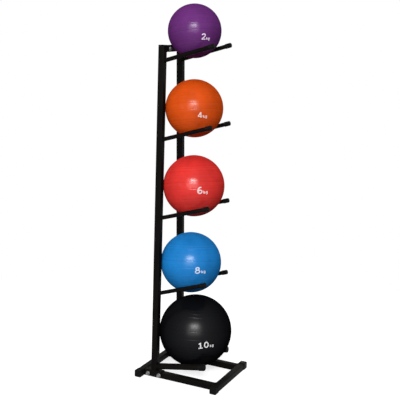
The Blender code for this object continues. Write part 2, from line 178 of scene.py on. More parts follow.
def add_grids(name, grids, crisp=CRISP):
    """One object from grids of points of shape (rows, columns, 3), each with its closed or open state.
    An open grid gets two flat caps."""
    corners, faces = [], []
    for points, closed in grids:
        rows, columns = points.shape[:2]
        first = len(corners)
        last = first + (rows - 1) * columns
        corners += points.reshape(-1, 3).tolist()
        faces += (first + grid_faces(rows, columns, closed)).tolist()
        if not closed:
            faces += [list(range(first, first + columns)), list(range(last, last + columns))]
    mesh = bpy.data.meshes.new(name)
    mesh.from_pydata(corners, [], faces)
    finish_mesh(mesh, crisp)
    return add_object(name, mesh)


def add_piece(name, points, closed=False, crisp=CRISP):
    """One object from one grid."""
    return add_grids(name, [(points, closed)], crisp)


# %% Dress a piece
def paint(piece, finish):
    """Give a piece one finish all over."""
    piece.data.materials.clear()
    piece.data.materials.append(finish)


def dress(piece, finish, body, node=None):
    """Give a piece its finish, the body it moves with and the node it stands for."""
    paint(piece, finish)
    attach(piece, body)
    if node:
        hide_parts(node)
    return piece


def stand_in(node, points, finish, body="rack", closed=False, crisp=CRISP):
    """A finer piece from one grid, shown in place of a CAD node."""
    return dress(add_piece(node + "_fine", points, closed, crisp), finish, body, node)


# %% [markdown]
# ## Runs and outlines
#
# Most of the frame is straight: an outline carried along a centre line. A run is that line with two
# directions across it. A mitred end could be sawn off with a Boolean. It is simpler to let the run's
# ring slide each point of an outline along the line until it lies on the plane of the cut.

# %% Runs
def unit(vector):
    """The vector at length 1."""
    vector = np.asarray(vector, float)
    return vector / np.linalg.norm(vector)


def turns(sides):
    """Angles spread evenly round a full turn."""
    return np.arange(sides) * 2 * math.pi / sides


def quarter(steps):
    """Angles from 0 to a quarter turn, both ends among them."""
    return np.linspace(0, math.pi / 2, steps + 1)


class Run:
    """A straight centre line from a start, along a direction, with across and up at right angles."""

    def __init__(self, start, along, across):
        self.start = np.asarray(start, float)
        self.along = unit(along)
        self.across = unit(across - self.along * np.dot(across, self.along))
        self.up = np.cross(self.along, self.across)

    def at(self, distance):
        return self.start + distance * self.along

    def ring(self, outline, point, normal):
        """P = start + a across + b up + s along, where s puts P on the plane: (P - point) . normal = 0."""
        corners = self.start + outline[:, :1] * self.across + outline[:, 1:] * self.up
        slide = (point - corners) @ normal / (self.along @ normal)
        return corners + slide[:, None] * self.along

    def turned(self, profile, sides):
        """P(k, t) = start + distance_k along + radius_k (cos t across + sin t up), for a profile of
        (radius, distance) pairs. Either one is a number, or holds one for each angle t."""
        turn = turns(sides)[:, None]
        outwards = np.cos(turn) * self.across + np.sin(turn) * self.up
        rows = [self.start + np.broadcast_to(distance, sides)[:, None] * self.along
                + np.broadcast_to(radius, sides)[:, None] * outwards for radius, distance in profile]
        return np.stack(rows)


# %% Outlines and tubes
CORNER_STEPS = 6
ARM_SIDES = 48
RIM = 0.0004
RIM_STEPS = 3


def square(width, corner, inset=0.0):
    """Round a square: each corner's centre + (corner - inset) (cos t, sin t), a quarter turn at each."""
    quadrant = np.arange(4)[:, None]
    turn = (quadrant + np.linspace(0, 1, CORNER_STEPS + 1)) * math.pi / 2
    middle = width / 2 - corner
    radius = corner - inset
    a = np.where((quadrant == 0) | (quadrant == 3), middle, -middle) + radius * np.cos(turn)
    b = np.where(quadrant < 2, middle, -middle) + radius * np.sin(turn)
    return np.stack((a, b), axis=-1).reshape(-1, 2)


def circle(radius):
    """(radius cos t, radius sin t)."""
    turn = turns(ARM_SIDES)
    return radius * np.stack((np.cos(turn), np.sin(turn)), axis=-1)


def tube_points(run, outline, wall, first, last):
    """Rings of an open tube between two planes, each a point and its outward normal. outline(d) is the
    outline at a depth d under the tube's skin. A rim is two quarter rounds, from the skin and from the
    bore: RIM (1 - cos t) into the wall, RIM (1 - sin t) back from the end."""
    turn = quarter(RIM_STEPS)
    depth = RIM * (1 - np.cos(turn))
    back = RIM * (1 - np.sin(turn))
    rim = list(zip(np.append(depth, wall - depth[::-1]), np.append(back, back[::-1])))
    rings = []
    for (point, normal), rows in ((first, rim[::-1]), (last, rim)):
        rings += [run.ring(outline(d), point - b * normal, normal) for d, b in rows]
    return np.stack(rings)


# %% [markdown]
# ## Shader maths as plain sums
#
# A finish is a Principled shader whose colour, roughness and bump vary from place to place. Written
# node by node that is long and hard to read. A Reading wraps one socket, and a sum or a product of
# readings adds the Math node that does it, so a pattern reads like a formula.

# %% Readings
class Reading:
    """A socket that can be calculated with."""

    def __init__(self, finish, socket):
        self.finish = finish
        self.socket = socket

    def math(self, operation, *values):
        return self.finish.node("ShaderNodeMath", dict(enumerate(values)), operation=operation)

    def __add__(self, other):
        return self.math("ADD", self, other)

    def __sub__(self, other):
        return self.math("SUBTRACT", self, other)

    def __rsub__(self, other):
        return self.math("SUBTRACT", other, self)

    def __mul__(self, other):
        return self.math("MULTIPLY", self, other)

    def __pow__(self, other):
        return self.math("POWER", self, other)

    __radd__ = __add__
    __rmul__ = __mul__

    def or_larger(self, other):
        return self.math("MAXIMUM", self, other)

    def band(self, low=0.3, high=0.7):
        """0 below low, 1 above high, and a smooth step between them."""
        ends = {0: self, 1: low, 2: high, 3: 0.0, 4: 1.0}
        return self.finish.node("ShaderNodeMapRange", ends, interpolation_type="SMOOTHSTEP")


# %% Finishes
NOISE_ROUGHNESS = 0.55


class Finish:
    """A material on one Principled shader. Uniform values go straight onto the shader's sockets."""

    def __init__(self, name, **uniform):
        self.material = bpy.data.materials.new(name)
        self.material.use_nodes = True
        self.tree = self.material.node_tree
        self.shader = self.tree.nodes["Principled BSDF"]
        for socket, value in uniform.items():
            self.shader.inputs[socket.replace("_", " ")].default_value = value
        self.places = self.node("ShaderNodeTexCoord", output="Object")

    def node(self, kind, inputs=None, output=0, **settings):
        """Any node: its settings first, then the values or links of its sockets, by name or number."""
        made = self.tree.nodes.new(kind)
        for key, value in settings.items():
            setattr(made, key, value)
        for key, value in (inputs or {}).items():
            self.feed(made.inputs[key], value)
        return Reading(self, made.outputs[output])

    def feed(self, socket, value):
        """Put a number, a colour or a reading into a socket."""
        if isinstance(value, Reading):
            self.tree.links.new(value.socket, socket)
        else:
            socket.default_value = value

    def wear(self, socket, value):
        """Let a varying value drive one of the shader's own sockets."""
        self.feed(self.shader.inputs[socket], value)

    def noise(self, scale, detail=3.0, stretch=(1, 1, 1)):
        """Cloudy noise over the piece, in waves per metre, stretched along an axis if asked."""
        places = self.node("ShaderNodeMapping", {"Vector": self.places, "Scale": stretch})
        return self.node("ShaderNodeTexNoise", {"Vector": places, "Scale": scale, "Detail": detail,
                                                "Roughness": NOISE_ROUGHNESS})

    def cells(self, scale):
        """Distance to the middle of the nearest cell, in cell widths."""
        return self.node("ShaderNodeTexVoronoi", {"Vector": self.places, "Scale": scale}, "Distance")

    def attribute(self, name):
        """A value that was stored on the piece's points."""
        return self.node("ShaderNodeAttribute", output="Fac", attribute_name=name)

    def mixed(self, share, one, other):
        """one where share is 0, other where it is 1."""
        return self.node("ShaderNodeMix", {0: share, 6: one, 7: other}, 2, data_type="RGBA")

    def bumps(self, height, depth, strength):
        """Tilt the normal as if the surface rose by height times depth."""
        self.wear("Normal", self.node("ShaderNodeBump",
                                      {"Height": height, "Distance": depth, "Strength": strength}))


def colour(red, green, blue):
    """A linear colour with full alpha."""
    return (red, green, blue, 1.0)


# %% [markdown]
# ## Black powder coat
#
# The tubes are powder coated: the paint is baked on as a melt, so it has a faint orange peel of
# shallow waves about two millimetres across. It is satin, not glossy. Here and there it is rubbed a
# little smoother, and fine dust lightens it on faces that look up. A picture of paint would show its
# seams on a round tube. Noise in object space has none, so noise shapes each of these marks.

# %% Powder coat
COAT_DARK = colour(0.0030, 0.0025, 0.0023)
COAT_PALE = colour(0.0052, 0.0044, 0.0040)
COAT_DUST = colour(0.022, 0.021, 0.019)
COAT_SPECK = colour(0.020, 0.019, 0.017)
PEEL_HEIGHT = 0.00012


def powder_coat(name, rub=0.0):
    finish = Finish(name, Specular_IOR_Level=0.03)
    peel = finish.noise(420, detail=2.0)
    clouds = finish.noise(14, detail=4.0)
    specks = finish.noise(1500, detail=1.0).band(0.62, 0.78)
    normal = finish.node("ShaderNodeNewGeometry", output="Normal")
    facing_up = finish.node("ShaderNodeSeparateXYZ", {0: normal}, "Z")
    dust = facing_up.band(0.55, 1.0) * clouds.band(0.35, 0.75)
    base = finish.mixed(clouds.band(), COAT_DARK, COAT_PALE)
    base = finish.mixed(dust * 0.35, base, COAT_DUST)
    base = finish.mixed(specks * 0.15, base, COAT_SPECK)
    finish.wear("Base Color", base)
    polish = facing_up.band(0.5, 0.95) * finish.noise(60, detail=2.0, stretch=(1, 0.15, 0.15)).band(0.4, 0.6)
    finish.wear("Roughness", 0.47 + clouds * 0.10 + dust * 0.10 - polish * rub)
    finish.bumps(peel + specks * 0.15, PEEL_HEIGHT, 0.8)
    return finish.material


coat = powder_coat("black powder coat")
arm_coat = powder_coat("black powder coat on arms", rub=0.16)
print("finishes:", coat.name, "and", arm_coat.name)

# %% [markdown]
# ## Zinc plate, cap rubber and white print
#
# Bolts and nuts are zinc plated: bright grey with a slight blue and yellow cast and fine drawn
# scratches. End caps are moulded black vinyl with a dull skin that scuffs grey. The weights are
# printed in thick white ink, which takes a tint from its ball's colour and wears thin in places.
# Noise that is stretched along one axis makes both scratches and scuffs, and cells make a grain.

# %% Small finishes
ZINC_BLUE = colour(0.165, 0.18, 0.195)
ZINC_YELLOW = colour(0.195, 0.195, 0.175)
ZINC_SCRATCH = colour(0.11, 0.11, 0.10)
VINYL_DARK = colour(0.0034, 0.0032, 0.0031)
VINYL_PALE = colour(0.0056, 0.0054, 0.0052)
VINYL_SCUFF = colour(0.028, 0.028, 0.027)
INK_WHITE = 0.93
INK_TINT = 0.28
INK_HAZE = 0.05
# How much darker worn ink is, and how much painted shade darkens the balls' ring grooves.
WEAR_AND_SHADE = 0.72


def darker(base):
    """A colour at WEAR_AND_SHADE times its strength."""
    return colour(*(WEAR_AND_SHADE * value for value in base[:3]))


def zinc_plate():
    finish = Finish("zinc plate", Metallic=1.0)
    cast = finish.noise(160)
    scratches = finish.noise(900, detail=2.0, stretch=(1, 1, 0.12))
    base = finish.mixed(cast.band(0.35, 0.65), ZINC_BLUE, ZINC_YELLOW)
    finish.wear("Base Color", finish.mixed(scratches.band(0.60, 0.75) * 0.5, base, ZINC_SCRATCH))
    finish.wear("Roughness", 0.40 + cast * 0.12 + scratches * 0.10)
    finish.bumps(scratches, 0.00004, 0.7)
    return finish.material


def cap_rubber():
    finish = Finish("black cap vinyl", Specular_IOR_Level=0.04)
    grain = finish.cells(1300)
    clouds = finish.noise(45, detail=4.0)
    scuffs = finish.noise(230, stretch=(1, 0.3, 1)).band(0.60, 0.74)
    base = finish.mixed(clouds.band(), VINYL_DARK, VINYL_PALE)
    finish.wear("Base Color", finish.mixed(scuffs * 0.3, base, VINYL_SCUFF))
    finish.wear("Roughness", 0.50 + clouds * 0.14 + scuffs * 0.08)
    finish.bumps(grain + scuffs * 0.5, 0.00010, 0.6)
    return finish.material


def white_print(name, under):
    """INK_WHITE (1 - tint + tint (c + haze) / (largest c + haze)), for each value c of the ball's colour."""
    finish = Finish(name, Specular_IOR_Level=0.3)
    grain = finish.cells(560)
    thin = finish.noise(260).band(0.62, 0.80)
    shares = [(value + INK_HAZE) / (max(under[:3]) + INK_HAZE) for value in under[:3]]
    white = colour(*(INK_WHITE * (1 - INK_TINT + INK_TINT * share) for share in shares))
    finish.wear("Base Color", finish.mixed(thin * 0.35, white, darker(white)))
    finish.wear("Roughness", 0.42 + thin * 0.15)
    finish.bumps(grain, 0.00010, 0.5)
    return finish.material


zinc = zinc_plate()
vinyl = cap_rubber()
print("finishes:", zinc.name, "and", vinyl.name)

# %% [markdown]
# ## The base
#
# Two cross tubes lie on the floor, front and rear, and two side tubes run between them. Bevelled
# boxes would look the same from afar, but bolts go through these tubes later, so they have walls. The
# ends of the cross tubes wear square vinyl caps, and the rack stands on those caps. Each cap has a
# raised lip at its mouth and a shallow dish in its end, as moulded caps do.

# %% Base tubes
FOOT_CAP_END = 0.002
REAR_Y = BASE_LENGTH / 2
cross_half = BASE_WIDTH / 2 - FOOT_CAP_END - FIT
side_half = (BASE_LENGTH - TUBE) / 2 - FIT


def add_square_tube(node, run, first, last):
    """A black square tube between two planes, each a point and its outward normal."""
    points = tube_points(run, lambda depth: square(TUBE, TUBE_CORNER, depth), TUBE_WALL, first, last)
    return stand_in(node, points, coat, closed=True)


for place, end in ENDS.items():
    run = Run((-cross_half, end * REAR_Y, BASE_Z), X, Y)
    add_square_tube("base_cross_tube_" + place, run, (run.start, -X), (run.at(2 * cross_half), X))

side_tubes = {}
for name, side in SIDES.items():
    run = Run((side * SIDE_X, -side_half, BASE_Z), Y, X)
    far_end = (run.at(2 * side_half), Y)
    side_tubes[name] = add_square_tube("base_side_tube_" + name, run, (run.start, -Y), far_end)
print("base tubes:", round(2 * cross_half, 4), "and", round(2 * side_half, 4), "m long")

# %% Foot caps
BEVEL = 0.0003
FOOT_CAP_WALL = 0.0017
FOOT_CAP_GRIP = 0.024
CAP_NOSE = 0.0018
CAP_NOSE_STEPS = 4
CAP_LIP = 0.00025
CAP_LIP_LENGTH = 0.0030
CAP_DISH = ((0.0070, 0.0005), (0.0050, 0.0005), (0.0042, 0.0))
CAP_FLOOR_INSET = 0.0090


def foot_cap_points(run):
    """Rings of rounded squares. Pairs of (inset, distance) trace the dish, a nose of quarter round
    CAP_NOSE (1 - sin t, 1 - cos t), the body, the lip, the mouth and the bore."""
    width = TUBE + 2 * FIT + 2 * FOOT_CAP_WALL
    corner = TUBE_CORNER + FIT + FOOT_CAP_WALL
    length = FOOT_CAP_END + FIT + FOOT_CAP_GRIP
    lip = length - CAP_LIP_LENGTH
    turn = quarter(CAP_NOSE_STEPS)
    nose = zip(CAP_LIP + CAP_NOSE * (1 - np.sin(turn)), CAP_NOSE * (1 - np.cos(turn)))
    profile = [*CAP_DISH, *nose, (CAP_LIP, lip - RIM), (0.0, lip), (0.0, length - BEVEL), (BEVEL, length),
               (FOOT_CAP_WALL - BEVEL, length), (FOOT_CAP_WALL, length - BEVEL),
               (FOOT_CAP_WALL, FOOT_CAP_END), (CAP_FLOOR_INSET, FOOT_CAP_END)]
    rings = [run.ring(square(width - 2 * inset, max(corner - inset, RIM)), run.at(distance), run.along)
             for inset, distance in profile]
    return np.stack(rings)


for place, end in ENDS.items():
    for name, side in SIDES.items():
        run = Run((side * BASE_WIDTH / 2, end * REAR_Y, BASE_Z), -side * X, Y)
        stand_in("foot_cap_" + place + "_" + name, foot_cap_points(run), vinyl)
print("foot caps: 4")

# %% [markdown]
# ## Uprights, plugs and crossbar
#
# The uprights lean towards each other and are cut level at both ends. A tube that is simply turned
# would end askew, so these are runs between two level planes. A plug with a slightly domed head
# closes each top. The crossbar slips over a short stub on each upright, and its ends are cut to the
# lean. The stubs are out of sight and keep their CAD shape.

# %% Uprights and plugs
PLUG_SKIRT = 0.012
PLUG_WALL = 0.0015
PLUG_LEAD_IN = (0.0005, 0.0006)
PLUG_EDGE = 0.0009
PLUG_EDGE_STEPS = 4
PLUG_CROWN = 0.0003
CROWN_SHARES = (0.7, 0.45, 0.2)


def upright_run(side):
    """The axis of an upright, from its foot to its top."""
    foot = np.array((side * SIDE_X, UPRIGHT_Y, UPRIGHT_FOOT_Z))
    top = np.array((side * TOP_X, UPRIGHT_Y, UPRIGHT_TOP_Z))
    return Run(foot, top - foot, Y)


def plug_points(run):
    """Level rings. The head's edge is a quarter round, and its crown rises as h (1 - s^2), where s is
    the share of the way from the middle to the edge. The skirt below it is hollow."""
    under = UPRIGHT_TOP_Z + FIT
    foot = under - PLUG_SKIRT
    skirt = TUBE - 2 * TUBE_WALL - 2 * FIT
    hollow = skirt - 2 * PLUG_WALL
    narrower, higher = PLUG_LEAD_IN
    below = ((hollow, under), (hollow, foot),
             (skirt - narrower, foot), (skirt, foot + higher), (skirt, under))
    squares = [(width, TUBE_CORNER - TUBE_WALL, level) for width, level in below]
    squares.append((TUBE, TUBE_CORNER, under))
    shoulder = RACK_HEIGHT - PLUG_CROWN - PLUG_EDGE
    turn = quarter(PLUG_EDGE_STEPS)
    for inset, level in zip(PLUG_EDGE * (1 - np.cos(turn)), shoulder + PLUG_EDGE * np.sin(turn)):
        squares.append((TUBE - 2 * inset, TUBE_CORNER - inset, level))
    for share in CROWN_SHARES:
        width = (TUBE - 2 * PLUG_EDGE) * share
        level = shoulder + PLUG_EDGE + PLUG_CROWN * (1 - share ** 2)
        squares.append((width, min(TUBE_CORNER, width / 3), level))
    return np.stack([run.ring(square(width, corner), Z * level, Z) for width, corner, level in squares])


for name, side in SIDES.items():
    run = upright_run(side)
    add_square_tube("upright_" + name, run, (Z * UPRIGHT_FOOT_Z, -Z), (Z * UPRIGHT_TOP_Z, Z))
    stand_in("upright_plug_" + name, plug_points(run), vinyl)
lean = math.degrees(math.atan2(SIDE_X - TOP_X, UPRIGHT_TOP_Z - UPRIGHT_FOOT_Z))
print("the uprights lean", round(lean, 2), "degrees")

# %% Crossbar
def crossbar_end(side):
    """A point just off an upright's inner face, and the crossbar's outward normal there."""
    run = upright_run(side)
    inwards = run.up if run.up[0] * side < 0 else -run.up
    return run.start + inwards * (TUBE / 2 + FIT), -inwards


run = Run((0, UPRIGHT_Y, CROSSBAR_Z), X, Y)
crossbar = add_square_tube("crossbar", run, crossbar_end(-1), crossbar_end(1))
for name in SIDES:
    paint(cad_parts["crossbar_stub_" + name], coat)
print("crossbar at z =", round(CROSSBAR_Z, 4))

# %% [markdown]
# ## Saddles
#
# Under each upright sits a saddle: a 3 mm plate bent over the side tube, with two bolts through its
# cheeks. A Solidify modifier could thicken a bent sheet, but the cheeks' round corners and the fine
# rims are easier to give by formula. A point s along the section and a point w across it are bent
# round the tube together, and near the cheeks' lower edges the width draws in.

# %% Saddles
SADDLE_LENGTH = 0.070
SADDLE_PLATE = 0.003
SADDLE_CHEEK = 0.0225
SADDLE_ROUND = 0.006
SADDLE_STEPS = 8
SIDE_TOP_Z = BASE_Z + TUBE / 2


def saddle_section():
    """Points on the plate's inner side, their outward normals, and the distance to the nearer lower
    edge. Up one cheek, round a quarter bend, over the top, and down in mirror image."""
    low = SIDE_TOP_Z - SADDLE_CHEEK
    bend_x = TUBE / 2 - TUBE_CORNER
    bend_z = SIDE_TOP_Z - TUBE_CORNER
    radius = TUBE_CORNER + FIT
    round_off = SADDLE_ROUND * (1 - np.cos(quarter(SADDLE_STEPS)))
    heights = np.append(low + round_off, bend_z)
    cheek = np.stack((np.full_like(heights, -bend_x - radius), heights), axis=-1)
    cheek_normal = np.tile((-1.0, 0.0), (len(heights), 1))
    turn = math.pi - quarter(SADDLE_STEPS)[1:]
    bend_normal = np.stack((np.cos(turn), np.sin(turn)), axis=-1)
    bend = np.array((-bend_x, bend_z)) + radius * bend_normal
    half = np.concatenate((cheek, bend))
    normal = np.concatenate((cheek_normal, bend_normal))
    from_edge = np.append(heights - low, np.full(len(turn), SADDLE_CHEEK))
    flip = np.array((-1.0, 1.0))
    return (np.concatenate((half, half[::-1] * flip)), np.concatenate((normal, normal[::-1] * flip)),
            np.concatenate((from_edge, from_edge[::-1])))


def saddle_points(centre_x):
    """P = (centre + section + h normal, w), with h from 0 to the plate's thickness. The half width is
    L/2 - r + sqrt(r^2 - (r - d)^2) within r of the lower edge, d away from it, and L/2 elsewhere."""
    section, normal, from_edge = saddle_section()
    inwards = np.clip(SADDLE_ROUND - from_edge, 0, SADDLE_ROUND)
    half = SADDLE_LENGTH / 2 - SADDLE_ROUND + np.sqrt(SADDLE_ROUND ** 2 - inwards ** 2)
    edge = [(0.0, RIM), (RIM, 0.0), (SADDLE_PLATE - RIM, 0.0), (SADDLE_PLATE, RIM)]
    columns = []
    for end, rows in ((-1, edge), (1, edge[::-1])):
        for height, inset in rows:
            xz = section + height * normal
            y = UPRIGHT_Y + end * (half - inset)
            columns.append(np.stack((centre_x + xz[:, 0], y, xz[:, 1]), axis=-1))
    return np.stack(columns, axis=1)


saddles = {}
for name, side in SIDES.items():
    saddles[name] = stand_in("saddle_" + name, saddle_points(side * SIDE_X), coat)
print("saddles:", len(saddles))

# %% [markdown]
# ## Bolts and nuts
#
# These are M8 bolts with a washer pressed into the head. The head is turned and milled in one formula:
# a hexagon's radius changes with the angle, and a cone cuts its corners off. The thread is a wave that
# climbs one pitch in each turn. Bolt holes are drilled with a Boolean, which suits a round hole through
# a thin wall.

# %% Bolt and nut shapes
BOLT_SIDES = 48
BOLT_RADIUS = 0.004
BOLT_FLANGE_RADIUS = 0.0085
BOLT_FLANGE = 0.0015
FLANGE_EDGE = 0.0007
BOLT_FLATS = 0.0125
BOLT_HEAD = 0.0065
HEX_FILLET = 0.0002
HEX_TOP = 0.95 * BOLT_FLATS / 2
CHAMFER = math.tan(math.radians(30))
HEAD_DISH_RADIUS = 0.0040
MOUTH_RADIUS = 0.0048
NUT_HEIGHT = 0.008
NUT_BEVEL = 0.0005
THREAD_END = 0.002
THREAD_PITCH = 0.00125
THREAD_STEPS = 8
THREAD_DEPTH = 0.0007
TIP_LENGTH = 0.0009
TIP_NARROWING = 0.0012
HOLE_RADIUS = BOLT_RADIUS + FIT


def hexagon():
    """A hexagon's radius at each angle t: half its flats / cos(t from the middle of the nearest flat)."""
    from_flat = (turns(BOLT_SIDES) + math.pi / 6) % (math.pi / 3) - math.pi / 6
    return BOLT_FLATS / 2 / np.cos(from_flat)


def hexagon_block(foot, top):
    """Pairs of (radius, distance) from a washer at foot up to a chamfered top. The cone cuts the corners
    back by (radius - circle) tan 30. The direction from foot to top may be either way."""
    way = 1 if top > foot else -1
    sharp = hexagon()
    edge = foot + way * FLANGE_EDGE
    shoulder = foot + way * BOLT_FLANGE
    return [(BOLT_FLANGE_RADIUS, foot), (BOLT_FLANGE_RADIUS, edge),
            (BOLT_FLANGE_RADIUS - RIM, edge + way * BEVEL),
            (sharp + HEX_FILLET, shoulder), (sharp, shoulder + way * BEVEL),
            (sharp, top - way * np.clip(sharp - HEX_TOP, 0, None) * CHAMFER), (HEX_TOP, top)]


def bolt_points(seat, along, grip):
    """The head lies before the seat and the shank runs along. Thread radius: r - d/2 (1 - cos(2 pi
    z / pitch - t)), for a distance z along and an angle t round."""
    top = -FIT - BOLT_HEAD
    end = grip + FIT + NUT_HEIGHT + THREAD_END
    head = [(0.0, top + BEVEL), (HEAD_DISH_RADIUS, top + BEVEL), (MOUTH_RADIUS, top)]
    head += hexagon_block(-FIT, top)[::-1]
    shank = [(BOLT_RADIUS + BEVEL, -FIT), (BOLT_RADIUS, 0.0), (BOLT_RADIUS, grip)]
    z = np.arange(grip + FIT, end - TIP_LENGTH, THREAD_PITCH / THREAD_STEPS)
    wave = (1 - np.cos(2 * math.pi * z[:, None] / THREAD_PITCH - turns(BOLT_SIDES))) / 2
    thread = list(zip(BOLT_RADIUS - THREAD_DEPTH * wave, z))
    tip = [(BOLT_RADIUS - TIP_NARROWING, end), (0.0, end)]
    return Run(seat, along, Z).turned(head + shank + thread + tip, BOLT_SIDES)


def nut_points(seat, along):
    """A washer, a hexagon and a bore, from the seat along."""
    top = FIT + NUT_HEIGHT
    bore = [(MOUTH_RADIUS, top), (HOLE_RADIUS, top - NUT_BEVEL), (HOLE_RADIUS, FIT)]
    return Run(seat, along, Z).turned(hexagon_block(FIT, top) + bore, BOLT_SIDES)


# %% Drill and fasten
def drill(pieces, seat, along, grip):
    """Cut one hole of HOLE_RADIUS through the pieces, and keep their materials."""
    profile = ((HOLE_RADIUS, -TUBE / 2), (HOLE_RADIUS, grip + TUBE / 2))
    cutter = add_piece("cutter", Run(seat, along, Z).turned(profile, BOLT_SIDES))
    for piece in pieces:
        cut = piece.modifiers.new("hole", "BOOLEAN")
        cut.operation = "DIFFERENCE"
        cut.solver = "EXACT"
        cut.object = cutter
        depsgraph = bpy.context.evaluated_depsgraph_get()
        drilled = bpy.data.meshes.new_from_object(piece.evaluated_get(depsgraph))
        piece.modifiers.clear()
        piece.data = drilled
        finish_mesh(drilled)
    bpy.data.objects.remove(cutter)


def fasten(kind, place, pieces, seat, along, grip):
    """Drill the pieces and put a bolt and a nut through the hole."""
    drill(pieces, seat, along, grip)
    stand_in(kind + "_bolt_" + place, bolt_points(seat, along, grip), zinc)
    stand_in(kind + "_nut_" + place, nut_points(seat + along * grip, along), zinc, closed=True)


# %% Fasten the saddles and the crossbar
SADDLE_BOLT_PITCH = 0.050
CROSSBAR_BOLT_INSET = 0.022
outside = TUBE / 2 + FIT + SADDLE_PLATE
crossbar_bolt_x = upright_x(CROSSBAR_Z) - TUBE / 2 - CROSSBAR_BOLT_INSET
for name, side in SIDES.items():
    for place, end in ENDS.items():
        seat = np.array((side * (SIDE_X + outside), UPRIGHT_Y + end * SADDLE_BOLT_PITCH / 2, BASE_Z))
        fasten("saddle", place + "_" + name, (saddles[name], side_tubes[name]), seat, -side * X, 2 * outside)
    seat = np.array((side * crossbar_bolt_x, UPRIGHT_Y - TUBE / 2, CROSSBAR_Z))
    fasten("crossbar", name, (crossbar,), seat, Y, TUBE)
print("bolts and nuts: 6 of each")

# %% [markdown]
# ## Arms and their caps
#
# Each arm is a round tube, mitred to the upright's front face and closed with a slip-on cap. It is a
# run again, with circles for outlines, and the cap is turned from a profile, as on a lathe. The CAD
# boxes give the heights: the lowest point of a mitred arm lies radius / cos(tilt) under its axis. The
# balls roll on and off the arms, so their upper side is rubbed a little smoother.

# %% Arms
ARM_TILTS = {"10kg": 10.3, "8kg": 18.2, "6kg": 16.5, "4kg": 16.5, "2kg": 16.5}
ARM_RADIUS = 0.008
LOW_ARM_RADIUS = 0.0125
ARM_WALL = 0.0015
ARM_REACH = 0.213
ARM_CAP_WALL = 0.0012
ARM_CAP_GRIP = 0.020
ARM_CAP_END = 0.003
ARM_CAP_LIP_LENGTH = 0.0022
ARM_CAP_NOSE = 0.0034
ARM_CAP_NOSE_STEPS = 8
tube_end = ARM_REACH - ARM_CAP_END - FIT


def arm_radius(tier):
    return LOW_ARM_RADIUS if tier == LOWEST else ARM_RADIUS


def arm_run(tier, side):
    """The arm's axis, from the upright's front face. Its height comes from the CAD node's box."""
    tilt = math.radians(ARM_TILTS[tier])
    low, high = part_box("arm_" + tier + "_left")
    height = low.z + arm_radius(tier) / math.cos(tilt) - FIT * math.tan(tilt)
    return Run((side * upright_x(height), UPRIGHT_FRONT_Y, height), (0, -math.cos(tilt), math.sin(tilt)), X)


def arm_points(run, radius):
    """A round tube from a plane just off the upright's front face to a square end inside the cap."""
    first = (Y * (UPRIGHT_FRONT_Y - FIT), Y)
    last = (run.at(tube_end), run.along)
    return tube_points(run, lambda depth: circle(radius - depth), ARM_WALL, first, last)


def arm_cap_points(run, radius):
    """Turned from pairs of (radius, distance): a bore, a lip at the mouth, a slightly slimmer body and
    a nose of quarter round n (1 - cos t, sin t) that ends in a flat."""
    bore = radius + FIT
    wide = bore + ARM_CAP_WALL
    slim = wide - CAP_LIP
    mouth = tube_end - ARM_CAP_GRIP
    lip = mouth + ARM_CAP_LIP_LENGTH
    profile = [(0.0, tube_end + FIT), (bore, tube_end + FIT), (bore, mouth + BEVEL), (bore + BEVEL, mouth),
               (wide - BEVEL, mouth), (wide, mouth + BEVEL), (wide, lip), (slim, lip + RIM)]
    turn = quarter(ARM_CAP_NOSE_STEPS)
    profile += zip(slim - ARM_CAP_NOSE * (1 - np.cos(turn)), ARM_REACH - ARM_CAP_NOSE * (1 - np.sin(turn)))
    return run.turned(profile + [(0.0, ARM_REACH)], ARM_SIDES)


for tier in TIERS:
    radius = arm_radius(tier)
    for name, side in SIDES.items():
        run = arm_run(tier, side)
        place = tier + "_" + name
        stand_in("arm_" + place, arm_points(run, radius), arm_coat, closed=True)
        stand_in("arm_cap_" + place, arm_cap_points(run, radius), vinyl)
    print("arms", tier, "at z =", round(float(run.start[2]), 4))

# %% [markdown]
# ## Weld beads
#
# The arms, the uprights' feet and the side tubes' ends are welded. A bead is a small round section
# carried along the joint's line. It ripples, because the weld pool freezes in scales, and each scale
# is bent back at its sides. A curve with a round bevel would make a plain, smooth cord. A formula can
# add the ripple. Powder coat covers the beads like the rest.

# %% Weld beads
BEAD_RADIUS = 0.0016
BEAD_SCALE = 0.0018
BEAD_RIPPLE = 0.09
BEAD_STEP = 0.0004
BEAD_SIDES = 10


def lengths_along(path):
    """The length of a path up to each of its points."""
    return np.append(0.0, np.cumsum(np.linalg.norm(np.diff(path, axis=0), axis=1)))


def points_at(path, wanted):
    """The points of a path at the wanted lengths along it, by straight interpolation."""
    lengths = lengths_along(path)
    return np.stack([np.interp(wanted, lengths, column) for column in path.T], axis=-1)


def loop_direction(points):
    """The direction of a closed path at each of its points, from the point before to the one after."""
    return np.roll(points, -1, axis=0) - np.roll(points, 1, axis=0)


def add_bead(name, path, face):
    """P(s, t) = path(s) + r(s, t) (cos t outwards + sin t face). r = R (1 + ripple cos(2 pi s / scale +
    sin t)), where outwards = along the path x face, and face is the normal of the joint's plane."""
    path = np.vstack((path, path[:1]))
    length = lengths_along(path)[-1]
    count = int(length / BEAD_STEP)
    points = points_at(path, np.arange(count) * length / count)
    outwards = np.cross(loop_direction(points), face)
    outwards /= np.linalg.norm(outwards, axis=1)[:, None]
    if np.sum(outwards * (points - points.mean(axis=0))) < 0:
        outwards = -outwards
    scales = round(length / BEAD_SCALE)
    phase = np.linspace(0, 2 * math.pi * scales, count, endpoint=False)[:, None]
    turn = turns(BEAD_SIDES)
    radius = BEAD_RADIUS * (1 + BEAD_RIPPLE * np.cos(phase + np.sin(turn)))
    section = np.cos(turn)[:, None] * outwards[:, None, :] + np.sin(turn)[:, None] * face
    bead = add_piece(name, points[:, None, :] + radius[..., None] * section, closed=True, crisp=math.pi)
    dress(bead, coat, "rack")


